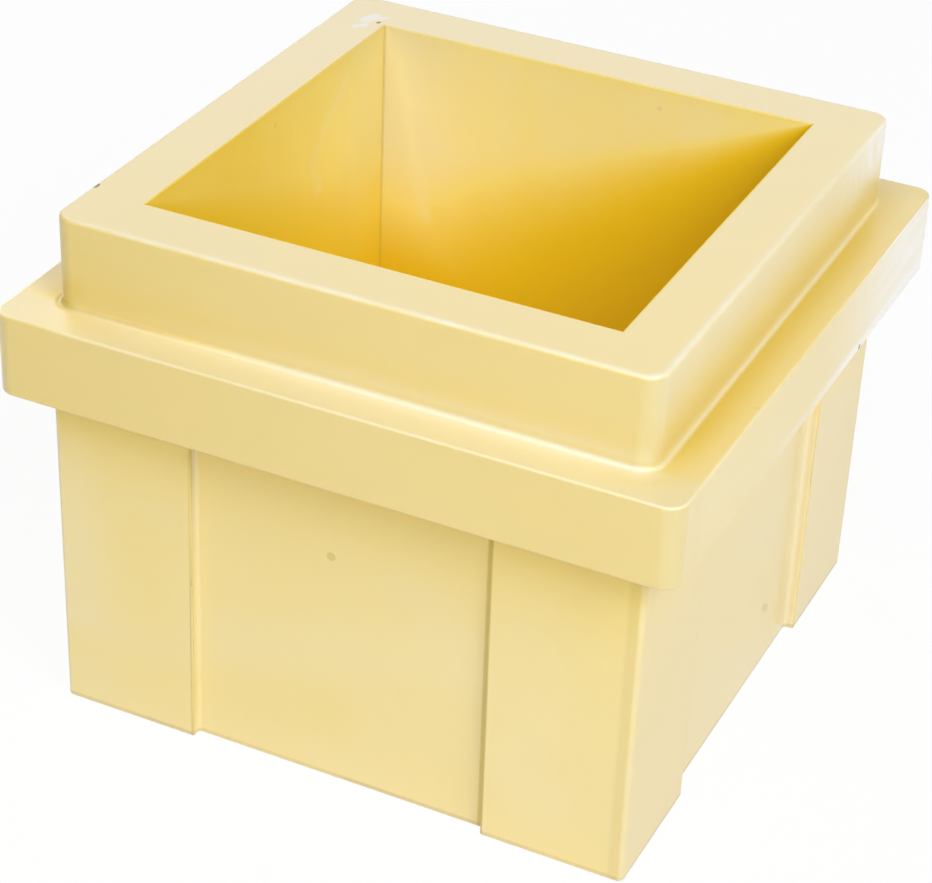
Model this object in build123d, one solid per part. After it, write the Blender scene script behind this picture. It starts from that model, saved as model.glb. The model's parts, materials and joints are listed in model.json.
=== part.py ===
from build123d import *
import os

# One-piece mould for casting a concrete test cube, and the loose plug that closes its ejection hole.
# Millimetres, +Z up, origin at the centre of the base.

# Cavity that shapes the cube
CUBE = 150.0
CAVITY_DEPTH = 150.0
CAVITY_DRAFT = 0.2
MOUTH_BEVEL = 0.2

# Walls and floor around the cavity
FLOOR = 20.0
RIM_WALL = 19.5
BODY_WALL_TOP = 21.0
BODY_WALL_BASE = 20.75

# Raised rim
RIM_HEIGHT = 29.0
RIM_CORNER_R = 6.0
RIM_EDGE_R = 1.4
RIM_ROOT_R = 1.5

# Collar that the mould is lifted by
COLLAR_HEIGHT = 26.5
COLLAR_OVERHANG = 13.5
COLLAR_CORNER_R = 6.0
COLLAR_TOP_R = 0.7
COLLAR_LOWER_R = 0.8
COLLAR_ROOT_R = 1.0

# Tapered body under the collar, with one shallow panel between two pilasters on each side
BODY_CORNER_R = 1.8
BASE_EDGE_R = 0.4
PANEL_WIDTH_TOP = 97.5
PANEL_WIDTH_BASE = 99.0
PANEL_RECESS = 3.2
STEP_EDGE_R = 0.6
STEP_FOOT_R = 1.6

# Plug and the stepped hole that it closes
PLUG_HEAD_D = 32.0
PLUG_HEAD_HEIGHT = 5.0
PLUG_HEAD_EDGE = 0.4
PLUG_STEM_D = 12.0
PLUG_STEM_CHAMFER = 0.8
HEAD_CLEARANCE = 0.3
STEM_CLEARANCE = 0.08
STEM_SHORTFALL = 0.5
NOZZLE_SOCKET_D = 16.0
NOZZLE_SOCKET_DEPTH = 6.0
NOZZLE_SOCKET_CHAMFER = 0.8

# A rounded step takes no more than this share of the step's depth at each end
STEP_ROUND_SHARE = 0.45

# A corner counts as found when it lies this close to where it should be
SAME_PLACE = 0.01

# Heights
HEIGHT = FLOOR + CAVITY_DEPTH
COLLAR_TOP_Z = HEIGHT - RIM_HEIGHT
COLLAR_BASE_Z = COLLAR_TOP_Z - COLLAR_HEIGHT
SEAT_Z = FLOOR - PLUG_HEAD_HEIGHT
STEM_LENGTH = SEAT_Z - NOZZLE_SOCKET_DEPTH - STEM_SHORTFALL

# Outside widths
RIM_WIDTH = CUBE + 2 * RIM_WALL
COLLAR_WIDTH = RIM_WIDTH + 2 * COLLAR_OVERHANG
BODY_WIDTH_TOP = CUBE + 2 * BODY_WALL_TOP
BODY_WIDTH_BASE = CUBE + 2 * BODY_WALL_BASE


def reach(item):
    """How far an edge or corner lies from the Z axis, along X or Y, whichever is more."""
    centre = item.center()
    return max(abs(centre.X), abs(centre.Y))


def edges_at(solid, z, inside=None, outside=None):
    """Edges that lie flat at height z, limited to those within or beyond a distance from the axis."""
    found = solid.edges().filter_by_position(Axis.Z, z, z)
    if inside is not None:
        found = found.filter_by(lambda edge: reach(edge) < inside)
    if outside is not None:
        found = found.filter_by(lambda edge: reach(edge) > outside)
    return found


def body_section(width, panel_width):
    """Square section with a shallow recess in the middle of each side and rounded steps."""
    half = width / 2
    panel_half = panel_width / 2
    panel_y = -half + PANEL_RECESS
    side = [(-half, -half), (-panel_half, -half), (-panel_half, panel_y)]
    side += [(panel_half, panel_y), (panel_half, -half)]
    points = []
    for turn in range(4):
        points += [Vector(x, y).rotate(Axis.Z, 90 * turn) for x, y in side]
    section = make_face(Polyline(*points, close=True))

    def corners(across, along):
        """Corners on all four sides that lie this far across from the axis and this far along the side."""
        def matches(corner):
            low, high = sorted((abs(corner.X), abs(corner.Y)))
            return abs(high - across) < SAME_PLACE and abs(low - along) < SAME_PLACE
        return section.vertices().filter_by(matches)

    step_limit = STEP_ROUND_SHARE * PANEL_RECESS
    section = fillet(corners(half, half), BODY_CORNER_R)
    section = fillet(corners(half, panel_half), min(STEP_EDGE_R, step_limit))
    section = fillet(corners(-panel_y, panel_half), min(STEP_FOOT_R, step_limit))
    return section


def tapered_body():
    """The lower body, from the base up to the underside of the collar."""
    base = body_section(BODY_WIDTH_BASE, PANEL_WIDTH_BASE)
    top = Pos(0, 0, COLLAR_BASE_Z) * body_section(BODY_WIDTH_TOP, PANEL_WIDTH_TOP)
    body = loft([base, top], ruled=True)
    return fillet(edges_at(body, 0), BASE_EDGE_R)


def collar_and_rim():
    """The wide collar with the rim standing on it, rounded outside and still solid inside."""
    collar = extrude(RectangleRounded(COLLAR_WIDTH, COLLAR_WIDTH, COLLAR_CORNER_R), COLLAR_HEIGHT)
    rim = extrude(RectangleRounded(RIM_WIDTH, RIM_WIDTH, RIM_CORNER_R), RIM_HEIGHT)
    block = Pos(0, 0, COLLAR_BASE_Z) * collar + Pos(0, 0, COLLAR_TOP_Z) * rim
    between = (RIM_WIDTH + COLLAR_WIDTH) / 4
    block = fillet(edges_at(block, COLLAR_TOP_Z, inside=between), RIM_ROOT_R)
    block = fillet(edges_at(block, COLLAR_TOP_Z, outside=between), COLLAR_TOP_R)
    block = fillet(edges_at(block, HEIGHT), RIM_EDGE_R)
    return fillet(edges_at(block, COLLAR_BASE_Z), COLLAR_LOWER_R)


def square(width):
    """A sharp-cornered square about the Z axis."""
    return Rectangle(width, width)


def cavity():
    """The space that the cube is cast in: a little narrower at its floor, with a broken edge at its mouth."""
    floor = Pos(0, 0, FLOOR) * square(CUBE - 2 * CAVITY_DRAFT)
    bevel_foot = Pos(0, 0, HEIGHT - MOUTH_BEVEL) * square(CUBE)
    mouth = Pos(0, 0, HEIGHT) * square(CUBE + 2 * MOUTH_BEVEL)
    return loft([floor, bevel_foot, mouth], ruled=True)


def rod(diameter, height, z):
    """An upright cylinder on the Z axis, standing at height z."""
    return Pos(0, 0, z) * extrude(Circle(diameter / 2), height)


def ejection_hole():
    """Seat for the plug's head, hole for its stem, and socket for the air nozzle under the base."""
    seat = rod(PLUG_HEAD_D + 2 * HEAD_CLEARANCE, PLUG_HEAD_HEIGHT, SEAT_Z)
    hole = rod(PLUG_STEM_D + 2 * STEM_CLEARANCE, SEAT_Z, 0)
    socket = rod(NOZZLE_SOCKET_D, NOZZLE_SOCKET_DEPTH, 0)
    return seat + hole + socket


def mould_body():
    """The mould itself: one thick-walled casting."""
    block = collar_and_rim() + tapered_body()
    under_collar = (BODY_WIDTH_TOP + COLLAR_WIDTH) / 4
    block = fillet(edges_at(block, COLLAR_BASE_Z, inside=under_collar), COLLAR_ROOT_R)
    block = block - cavity() - ejection_hole()
    return chamfer(edges_at(block, 0, inside=NOZZLE_SOCKET_D), NOZZLE_SOCKET_CHAMFER)


def ejection_plug():
    """Mushroom plug: its head lies flush in the cavity floor and its stem centres it in the hole."""
    head = rod(PLUG_HEAD_D, PLUG_HEAD_HEIGHT, SEAT_Z)
    stem = rod(PLUG_STEM_D, STEM_LENGTH, SEAT_Z - STEM_LENGTH)
    plug = head + stem
    plug = fillet(edges_at(plug, FLOOR), PLUG_HEAD_EDGE)
    return chamfer(edges_at(plug, SEAT_Z - STEM_LENGTH), PLUG_STEM_CHAMFER)


os.makedirs("parts", exist_ok=True)
for make in (mould_body, ejection_plug):
    piece = make()
    piece.label = make.__name__
    export_step(piece, f"parts/{piece.label}.step")
    print(piece.label, round(piece.volume), piece.bounding_box().size)
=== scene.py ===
"""Looks of a one-piece concrete cube mould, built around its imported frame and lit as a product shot."""

import functools
import json
import math

import bpy
from mathutils import Color, Matrix, Vector


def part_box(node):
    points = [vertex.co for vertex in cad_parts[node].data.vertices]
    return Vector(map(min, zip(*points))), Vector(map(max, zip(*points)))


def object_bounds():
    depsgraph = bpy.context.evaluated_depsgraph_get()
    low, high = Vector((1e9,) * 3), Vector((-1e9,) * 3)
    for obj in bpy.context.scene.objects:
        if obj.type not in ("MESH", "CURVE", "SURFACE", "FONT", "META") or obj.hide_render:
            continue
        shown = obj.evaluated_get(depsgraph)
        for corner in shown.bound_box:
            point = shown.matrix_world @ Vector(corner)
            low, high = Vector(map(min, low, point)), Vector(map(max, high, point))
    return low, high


bl_info = {
    "name": "Concrete Cube Mould",
    "version": (1, 0, 0),
    "blender": (4, 5, 0),
    "location": "3D View > Sidebar > Cube Mould",
    "description": "Finishes the pieces of a concrete cube mould and sets up its studio",
    "category": "Object",
}

# The frame, and the heights and half widths that the finishes are placed by, in metres
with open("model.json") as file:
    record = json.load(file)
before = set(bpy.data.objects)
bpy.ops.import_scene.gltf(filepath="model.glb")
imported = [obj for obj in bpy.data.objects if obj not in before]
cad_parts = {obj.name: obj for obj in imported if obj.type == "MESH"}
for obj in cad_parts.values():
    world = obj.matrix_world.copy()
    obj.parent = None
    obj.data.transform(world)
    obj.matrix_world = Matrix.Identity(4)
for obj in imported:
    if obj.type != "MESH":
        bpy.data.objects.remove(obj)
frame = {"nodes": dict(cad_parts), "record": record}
cad_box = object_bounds()
plug_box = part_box("ejection_plug")
mounts = {mount["name"]: Vector(mount["pos_m"]) for mount in frame["record"]["mounts"]}
MM = 0.001
RIM_TOP = mounts["rim_top"].z
COLLAR_TOP = mounts["collar_top"].z
COLLAR_HEIGHT = 26.5 * MM
COLLAR_BASE = COLLAR_TOP - COLLAR_HEIGHT
COLLAR_HALF = cad_box[1].x
RIM_HALF = 94.5 * MM
BODY_HALF = 96.0 * MM
CAVITY_HALF = 75.0 * MM
CAVITY_FLOOR = plug_box[1].z
CORNER_RADIUS = 6.0 * MM
PANEL_HALF = 49.5 * MM
PANEL_NARROWING = 0.75 * MM
PANEL_TAPER = PANEL_NARROWING / COLLAR_BASE
PLUG_HALF = plug_box[1].x

# The width of the photograph, in pixels
PHOTO_WIDTH = 932


class Value:
    """A number socket in a node tree. Python's operators on it add Math nodes."""

    def __init__(self, finish, socket):
        self.finish = finish
        self.socket = socket

    def math(self, operation, *others, clamp=False):
        settings = {"operation": operation, "use_clamp": clamp}
        node = self.finish.node("ShaderNodeMath", settings, dict(enumerate((self, *others))))
        return Value(self.finish, node.outputs[0])

    def __add__(self, other):
        return self.math("ADD", other)

    def __sub__(self, other):
        return self.math("SUBTRACT", other)

    def __mul__(self, other):
        return self.math("MULTIPLY", other)

    def __truediv__(self, other):
        return self.math("DIVIDE", other)

    def __abs__(self):
        return self.math("ABSOLUTE")

    def __neg__(self):
        return self * -1.0

    def __rsub__(self, other):
        return -self + other

    __radd__ = __add__
    __rmul__ = __mul__

    def at_least(self, other):
        return self.math("MAXIMUM", other)

    def at_most(self, other):
        return self.math("MINIMUM", other)

    def step(self, start, end):
        """0 at start and 1 at end, eased between them. Start may be the larger."""
        sockets = {"Value": self, "From Min": start, "From Max": end, "To Min": 0.0, "To Max": 1.0}
        if start > end:
            sockets.update({"From Min": end, "From Max": start, "To Min": 1.0, "To Max": 0.0})
        node = self.finish.node("ShaderNodeMapRange", {"interpolation_type": "SMOOTHSTEP"}, sockets)
        return Value(self.finish, node.outputs["Result"])

    def within(self, low, high, softness):
        """1 between low and high, easing to 0 over softness outside them."""
        return self.step(low - softness, low) * self.step(high + softness, high)

    def between(self, low, high):
        """Low where this is 0, and high where it is 1."""
        return self * (high - low) + low


def strongest(masks):
    """The largest of these values at each point."""
    return functools.reduce(Value.at_least, masks)


class Finish:
    """The node tree of one material or of the world."""

    MIDDLE_NOISE = Vector((0.5, 0.5, 0.5))
    WAVER_DETAIL = 1.0

    def __init__(self, owner):
        self.owner = owner
        owner.use_nodes = True
        self.tree = owner.node_tree
        self.tree.nodes.clear()

    def node(self, kind, settings=None, sockets=None):
        """Adds a node of this kind, makes its settings, then sets or links its sockets by name or number."""
        node = self.tree.nodes.new(kind)
        for name, setting in (settings or {}).items():
            setattr(node, name, setting)
        for name, given in (sockets or {}).items():
            socket = node.inputs[name] if isinstance(name, int) else self.find(node.inputs, name)
            source = given.socket if isinstance(given, Value) else given
            if isinstance(source, bpy.types.NodeSocket):
                self.tree.links.new(source, socket)
            elif isinstance(source, (tuple, Color, Vector)) and len(source) < len(socket.default_value):
                socket.default_value = (*source, 1.0)
            else:
                socket.default_value = source
        return node

    @staticmethod
    def find(sockets, name):
        """The socket of this name that the node's settings have switched on."""
        return next(socket for socket in sockets if socket.enabled and socket.name == name)

    def place(self):
        """Position on the piece in metres, which stays with the piece when it moves."""
        return self.node("ShaderNodeTexCoord").outputs["Object"]

    def facing(self):
        """The way that the surface faces on the piece."""
        return self.node("ShaderNodeTexCoord").outputs["Normal"]

    def axes(self, vector):
        parts = self.node("ShaderNodeSeparateXYZ", None, {"Vector": vector})
        return [Value(self, output) for output in parts.outputs]

    def vector(self, x, y, z):
        return self.node("ShaderNodeCombineXYZ", None, {"X": x, "Y": y, "Z": z}).outputs["Vector"]

    def vector_math(self, operation, *operands):
        """Vector maths that gives a vector."""
        node = self.node("ShaderNodeVectorMath", {"operation": operation}, dict(enumerate(operands)))
        return node.outputs["Vector"]

    def measure(self, operation, *operands):
        """Vector maths that gives a number, such as a length."""
        node = self.node("ShaderNodeVectorMath", {"operation": operation}, dict(enumerate(operands)))
        return Value(self, node.outputs["Value"])

    def scaled(self, vector, amount):
        sockets = {"Vector": vector, "Scale": amount}
        return self.node("ShaderNodeVectorMath", {"operation": "SCALE"}, sockets).outputs["Vector"]

    def stretched(self, vector, lengths, turn):
        """Turns a pattern and makes it this many times longer along each of its axes."""
        sockets = {"Vector": vector, "Scale": lengths, "Rotation": turn}
        return self.node("ShaderNodeMapping", {"vector_type": "TEXTURE"}, sockets).outputs["Vector"]

    def wavering(self, vector, scale, amount):
        """Moves a place about by up to half this amount, so that what is drawn there has uneven edges."""
        sockets = {"Vector": vector, "Scale": scale, "Detail": self.WAVER_DETAIL}
        noise = self.node("ShaderNodeTexNoise", None, sockets)
        away = self.vector_math("SUBTRACT", noise.outputs["Color"], self.MIDDLE_NOISE)
        return self.vector_math("ADD", vector, self.scaled(away, amount))

    def noise(self, vector, scale, detail=2.0, roughness=0.5):
        sockets = {"Vector": vector, "Scale": scale, "Detail": detail, "Roughness": roughness}
        return Value(self, self.node("ShaderNodeTexNoise", None, sockets).outputs["Fac"])

    def blend(self, amount, first, second):
        """First colour where amount is 0 and second where it is 1."""
        sockets = {"Factor": amount, "A": first, "B": second}
        mix = self.node("ShaderNodeMix", {"data_type": "RGBA", "clamp_factor": True}, sockets)
        return self.find(mix.outputs, "Result")

    def near(self, vector, centre, radius, softness):
        """1 within a radius of a point, easing to 0 over softness outside it."""
        return self.measure("DISTANCE", vector, Vector(centre)).step(radius + softness, radius)

    def along(self, vector, start, end, radius, softness):
        """1 within a radius of a straight line between two points, easing to 0 over softness outside it."""
        line = Vector(end) - Vector(start)
        away = self.vector_math("SUBTRACT", vector, Vector(start))
        share = self.measure("DOT_PRODUCT", away, line / line.length_squared)
        foot = self.scaled(line, share.math("ADD", 0.0, clamp=True))
        return self.measure("DISTANCE", away, foot).step(radius + softness, radius)

    def bump(self, height):
        """Relief from a height in metres."""
        sockets = {"Height": height, "Strength": 1.0, "Distance": 1.0}
        return self.node("ShaderNodeBump", None, sockets).outputs["Normal"]

    def plastic(self, **sockets):
        """A Principled surface as the material's output."""
        named = {name.replace("_", " ").title(): value for name, value in sockets.items()}
        surface = self.node("ShaderNodeBsdfPrincipled", None, named)
        self.node("ShaderNodeOutputMaterial", None, {"Surface": surface.outputs["BSDF"]})


class CubeMouldFinish(bpy.types.PropertyGroup):
    """Colours and gloss of the mould and its plug."""

    yellow: bpy.props.FloatVectorProperty(
        name="Mould yellow", description="Colour of the cast plastic outside",
        subtype="COLOR", size=3, min=0.0, max=1.0, default=(0.81, 0.64, 0.225),
    )
    # Pale yellow for random clouds, wipes and patches, and for painted light and painted sheen outside
    pale_and_lit_yellow: bpy.props.FloatVectorProperty(
        name="Faded yellow", description="Colour of the plastic where it is faded and dusty",
        subtype="COLOR", size=3, min=0.0, max=1.0, default=(0.81, 0.70, 0.40),
    )
    # Painted shade: the deep saturated yellow where shadow falls, in the cavity, under the collar and on the
    # left ledge
    shaded_yellow: bpy.props.FloatVectorProperty(
        name="Fresh yellow", description="Colour of the plastic where no light has faded it",
        subtype="COLOR", size=3, min=0.0, max=1.0, default=(0.89, 0.62, 0.015),
    )
    # Painted light: the cavity's pale colour where a light from the front right reaches over the rim, also
    # used for the pale runs of water and the haze
    lit_cavity_and_runs_yellow: bpy.props.FloatVectorProperty(
        name="Cavity yellow", description="Colour of the oiled cavity where daylight reaches it",
        subtype="COLOR", size=3, min=0.0, max=1.0, default=(0.95, 0.855, 0.45),
    )
    roughness: bpy.props.FloatProperty(
        name="Roughness", description="Roughness of the cast plastic itself",
        subtype="FACTOR", min=0.05, max=1.0, default=0.45,
    )
    film_roughness: bpy.props.FloatProperty(
        name="Film roughness", description="Roughness of the thin film of release wax on the plastic",
        subtype="FACTOR", min=0.05, max=1.0, default=0.28,
    )
    # How strong the pale edges are, with wear and a painted highlight
    wear_and_highlight: bpy.props.FloatProperty(
        name="Wear", description="How much the edges are rubbed pale",
        subtype="FACTOR", min=0.0, max=1.0, default=0.75,
    )
    plug_white: bpy.props.FloatVectorProperty(
        name="Plug white", description="Colour of the plug's natural plastic",
        subtype="COLOR", size=3, min=0.0, max=1.0, default=(0.74, 0.72, 0.65),
    )
    plug_roughness: bpy.props.FloatProperty(
        name="Plug roughness", description="Roughness of the plug's plastic",
        subtype="FACTOR", min=0.05, max=1.0, default=0.42,
    )


class CubeMouldStudio(bpy.types.PropertyGroup):
    """Camera and floor of the studio."""

    azimuth: bpy.props.FloatProperty(
        name="Azimuth", description="How far round to the right of the front the camera stands",
        subtype="ANGLE", default=math.radians(24.66),
    )
    elevation: bpy.props.FloatProperty(
        name="Elevation", description="How far above the horizon the camera stands",
        subtype="ANGLE", default=math.radians(31.83),
    )
    roll: bpy.props.FloatProperty(
        name="Roll", description="How far the camera leans to its left",
        subtype="ANGLE", default=math.radians(2.467),
    )
    distance: bpy.props.FloatProperty(
        name="Distance", description="From the camera to the point that it looks at",
        unit="LENGTH", default=0.8559,
    )
    aim: bpy.props.FloatVectorProperty(
        name="Aim", description="Point that the camera looks at",
        subtype="TRANSLATION", size=3, default=(0.00357, -0.01747, 0.08203),
    )
    focal_pixels: bpy.props.FloatProperty(
        name="Focal length", description="Focal length in pixels of the photograph", default=2748.1,
    )
    floor_white: bpy.props.FloatProperty(
        name="Floor white", description="How far the floor is lifted to white where it is seen",
        subtype="FACTOR", min=0.0, max=1.0, default=0.94,
    )


def finish_of(name):
    """A new material with an empty node tree."""
    return Finish(bpy.data.materials.new(name))


def direction(around, above):
    """The way from the object to something that stands round to the right of its front and above it."""
    return Vector((math.sin(around) * math.cos(above), -math.cos(around) * math.cos(above), math.sin(above)))


def paint(node, finish):
    """Gives a node of the frame its finish."""
    slots = frame["nodes"][node].data.materials
    slots.clear()
    slots.append(finish.owner)


class MouldSurface:
    """Where a point lies on the mould, as values that its finish is made from."""

    # Share of a face's normal along an axis at which it begins to count as facing that way, and fully does
    SIDEWAYS = (0.5, 0.9)
    UP_OR_DOWN = (0.7, 0.95)

    # Where each face or side of the mould begins, and where it is fully reached
    FRONT_OR_RIGHT = (RIM_HALF - 4.0 * MM, RIM_HALF)
    BODY_SIDE = (90.0 * MM, 92.0 * MM)
    RIM_WALL = (COLLAR_TOP + 1.0 * MM, COLLAR_TOP + 4.0 * MM)
    TOP = (RIM_TOP - 2.0 * MM, RIM_TOP - 1.0 * MM)
    BODY_HEIGHT = (COLLAR_BASE, COLLAR_BASE - 1.0 * MM)
    CAVITY_WALL = (CAVITY_HALF + 0.5 * MM, CAVITY_HALF + 0.4 * MM)
    CAVITY_BASE = (CAVITY_FLOOR - 1.0 * MM, CAVITY_FLOOR - 0.5 * MM)
    DIAGONAL = (-0.1 * MM, 0.1 * MM)
    SIDE_CHANGE = (0.0, 0.1 * MM)
    RIGHT_HAND = (0.0, 1.0 * MM)

    # Heights of the ledge and half widths of the body's walls, and how softly they end
    LEDGE = (COLLAR_TOP - 1.0 * MM, COLLAR_TOP, 1.0 * MM)
    BODY_WALL = (89.0 * MM, 97.0 * MM, 1.0 * MM)

    # Painted light in the cavity, where a light from the front right reaches over the rim: open mouth per
    # depth, depths, and distances from a corner that it grows over, and how much of it there is at both ends
    # of those
    LIT_MOUTH = (1.15, 3.1)
    LIT_DEPTH = (92.0 * MM, 36.0 * MM)
    LIP = (0.0, 6.0 * MM)
    LIP_LIGHT = (0.85, 1.0)
    BACK_CORNER = (60.0 * MM, 0.0)
    BACK_LIGHT = (0.76, 1.05)
    LEFT_CORNER = (110.0 * MM, 0.0)
    LEFT_LIGHT = (0.23, 0.55)
    LEFT_DEPTH = (25.0 * MM, 60.0 * MM)
    LEFT_DEEP_LOSS = 0.3

    def __init__(self, finish):
        self.finish = finish
        self.place = finish.place()
        self.x, self.y, self.z = finish.axes(self.place)
        self.depth = RIM_TOP - self.z
        self.reach = abs(self.x).at_least(abs(self.y))
        self.across = abs(self.x).at_most(abs(self.y))
        self.wall = finish.vector(self.x + self.y, 0.0, self.z)
        facing_x, facing_y, facing_z = finish.axes(finish.facing())
        self.facing_x = abs(facing_x).step(*self.SIDEWAYS)
        self.facing_y = abs(facing_y).step(*self.SIDEWAYS)
        self.level = facing_z.step(*self.UP_OR_DOWN)
        self.upright = 1 - self.level
        self.on_front = (-self.y).step(*self.FRONT_OR_RIGHT)
        self.on_right = self.x.step(*self.FRONT_OR_RIGHT)
        self.on_side = self.x.step(*self.BODY_SIDE)
        self.off_side = 1 - self.on_side
        self.on_rim = self.z.step(*self.RIM_WALL) * self.upright
        self.on_ledge = self.level * self.z.within(*self.LEDGE)
        self.on_top = self.level * self.z.step(*self.TOP)
        under = (-facing_z).step(*self.UP_OR_DOWN)
        self.on_body = self.z.step(*self.BODY_HEIGHT) * (1 - under) * self.reach.within(*self.BODY_WALL)
        self.inside = self.reach.step(*self.CAVITY_WALL) * self.z.step(*self.CAVITY_BASE)
        along = self.along_side()
        self.past_step = abs(along) - (PANEL_HALF - self.z * PANEL_TAPER)
        self.right_hand = along.step(*self.RIGHT_HAND)

    def along_side(self):
        """Place along a side: x on the front and back, and y on the left and right with its sign turned."""
        front_or_back = (abs(self.y) - abs(self.x)).step(*self.SIDE_CHANGE)
        return self.x * front_or_back - self.y * (1 - front_or_back)

    def painted_cavity_light(self):
        """How much painted light the cavity walls get from a light at the front right: most in two corners,
        none in the rim's shadow.
        """
        turned = (self.y - self.x).step(*self.DIAGONAL).between(-1.0, 1.0)
        x = self.x * turned
        y = self.y * turned
        open_mouth = (CAVITY_HALF - x) * self.facing_y + (CAVITY_HALF + y) * self.facing_x
        lit = (open_mouth / self.depth).step(*self.LIT_MOUTH).at_most(self.depth.step(*self.LIT_DEPTH))
        lit = lit * self.depth.step(*self.LIP).between(*self.LIP_LIGHT)
        back_wall = self.facing_y * (CAVITY_HALF + x).step(*self.BACK_CORNER).between(*self.BACK_LIGHT)
        left_wall = self.facing_x * (CAVITY_HALF - y).step(*self.LEFT_CORNER).between(*self.LEFT_LIGHT)
        left_wall = left_wall * (1 - self.depth.step(*self.LEFT_DEPTH) * self.LEFT_DEEP_LOSS)
        return lit * (back_wall + left_wall)

    def beyond(self, half):
        """How far outside a square of this half width, with the mould's rounded corners."""
        core = half - CORNER_RADIUS
        out = self.finish.vector((abs(self.x) - core).at_least(0.0), (abs(self.y) - core).at_least(0.0), 0.0)
        return self.finish.measure("LENGTH", out) - CORNER_RADIUS

    def on_edge(self, half, height, radius, softness):
        """1 on the line round the mould at this half width and height."""
        section = self.finish.vector(self.beyond(half), 0.0, self.z)
        return self.finish.near(section, (0.0, 0.0, height), radius, softness)

    def streaks(self, length, turn, scale, start, end):
        """Streaks on upright walls, this many times longer than wide and turned by degrees from level."""
        lying = self.finish.stretched(self.wall, (length, 1.0, 1.0), (0.0, math.radians(turn), 0.0))
        return self.finish.noise(lying, scale).step(start, end)


class CUBEMOULD_OT_body(bpy.types.Operator):
    """Give the mould its satin yellow cast plastic"""

    bl_idname = "cube_mould.body"
    bl_label = "Finish Mould Body"

    # Colours of the plastic: real chips, nicks, pits and dirt, and painted light, highlight, sheen, shadow
    # and shade
    # Chalky white for the rim's chips and scrapes, painted reflection on the far ends of the right faces,
    # and painted highlight by the far step
    CHALK_AND_HIGHLIGHT = (0.95, 0.93, 0.87)
    # Pale cream for worn edges with a painted highlight, and for painted highlight and light on the rim's
    # foot, the front ledge and the left riser
    WEAR_AND_HIGHLIGHT_CREAM = (0.84, 0.80, 0.62)
    # Painted light on the body's walls
    LIT_BODY_YELLOW = (0.95, 0.76, 0.28)
    # Painted sheen on the rim's top
    TOP_SHEEN_PALE = (0.95, 0.83, 0.56)
    # Painted shade on faces
    SHADED_FACE_YELLOW = (0.70, 0.53, 0.16)
    # Painted highlight on the rim's front root
    PALE_ROOT = (0.76, 0.71, 0.53)
    # Painted highlight on the right root, and painted shade at the foot of the left steps
    LIGHT_AND_SHADE_GREY = (0.71, 0.61, 0.33)
    SHADED_EDGE = (0.62, 0.50, 0.20)
    SHADED_CORNER = (0.57, 0.49, 0.43)
    # Painted shade, amber, on thin lines and on the rim's near left corner
    PAINTED_SHADE_AMBER = (0.66, 0.49, 0.07)
    # Painted shade, golden, on the rim's walls, the ledge and the far riser
    PAINTED_SHADE_GOLD = (0.68, 0.48, 0.035)
    # Painted shadow beside the right-hand steps
    GROOVE_SHADOW_BROWN = (0.56, 0.39, 0.02)
    # Painted shade on the near corner
    NEAR_CORNER = (0.66, 0.57, 0.28)
    # Painted light at half strength in the cavity
    HALF_LIT_CAVITY = (0.97, 0.82, 0.235)
    # Painted shade in the rim's root crease and above the base's edge
    CREASE_SHADE_BROWN = (0.42, 0.31, 0.12)
    DIRT = (0.22, 0.16, 0.07)
    PIT = (0.60, 0.46, 0.06)

    # Soft patches on the outside: both ends and radius in millimetres, and how far they are faded or fresh
    PATCHES = (
        ((-40.0, -93.0, 38.0), (38.0, -93.0, 60.0), 3.0, 0.20),
        ((24.0, -93.0, 80.0), (44.0, -93.0, 56.0), 2.0, 0.20),
        ((-93.0, -96.0, 90.0), (-92.0, -96.0, 36.0), 3.0, 0.45),
        ((60.0, -96.0, 86.0), (66.0, -96.0, 48.0), 4.0, 0.15),
        ((60.0, -96.0, 30.0), (68.0, -96.0, 18.0), 3.0, 0.20),
        ((-38.0, -93.0, 18.0), (-4.0, -93.0, 24.0), 2.0, -0.20),
        ((-66.0, -96.0, 66.0), (-68.0, -96.0, 44.0), 2.0, -0.25),
        ((-90.0, -96.0, 20.0), (-56.0, -96.0, 15.0), 1.0, -0.20),
        ((93.0, -10.0, 44.0), (93.0, 36.0, 18.0), 6.0, -0.25),
    )
    PATCH_EASE = 14.0 * MM

    # Small round marks in the faces: place and radius in millimetres, and how dark they are
    PITS = (
        ((-3.5, -92.6, 81.2), 1.2, 0.6),
        ((106.4, -48.3, 141.0), 0.8, 0.3),
        ((-75.0, 1.5, 163.6), 0.6, 0.25),
        ((24.0, 75.0, 163.3), 0.6, 0.2),
    )
    PIT_EASE = 0.5 * MM

    # Dark nicks: both ends and radius in millimetres
    NICKS = (
        ((-93.6, -71.4, 169.6), (-93.6, -72.6, 169.6), 0.7),
        ((108.0, 42.2, 115.4), (108.0, 42.6, 115.9), 0.45),
        ((-77.9, 75.7, 170.0), (-77.6, 76.3, 170.0), 0.3),
    )
    NICK_EASE = 0.5 * MM

    # A dull mark on the right panel: both ends and radius in millimetres
    SMUDGES = (
        ((92.7, 23.6, 24.0), (92.7, 27.4, 21.4), 0.8),
    )
    SMUDGE_EASE = 0.9 * MM

    # Chalky chips at the rim's far left corner: both ends and radius in millimetres
    CHIPS = (
        ((-83.2, 69.2, 170.0), (-80.8, 72.2, 170.0), 0.9),
        ((-82.4, 76.0, 170.0), (-81.2, 79.6, 170.0), 2.0),
        ((-78.4, 79.6, 170.0), (-77.4, 81.0, 170.0), 0.8),
    )
    CHIP_EASE = 0.5 * MM

    # Faint pale runs left by water on the cavity walls: both ends and radius in millimetres
    RUNS = (
        ((-75.0, 47.9, 160.7), (-75.0, 25.8, 141.3), 0.3),
        ((-75.0, 25.8, 141.3), (-75.0, 30.1, 128.6), 0.3),
        ((-69.0, 75.0, 158.0), (-58.0, 75.0, 104.0), 0.3),
    )
    RUN_EASE = 4.0 * MM

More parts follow.
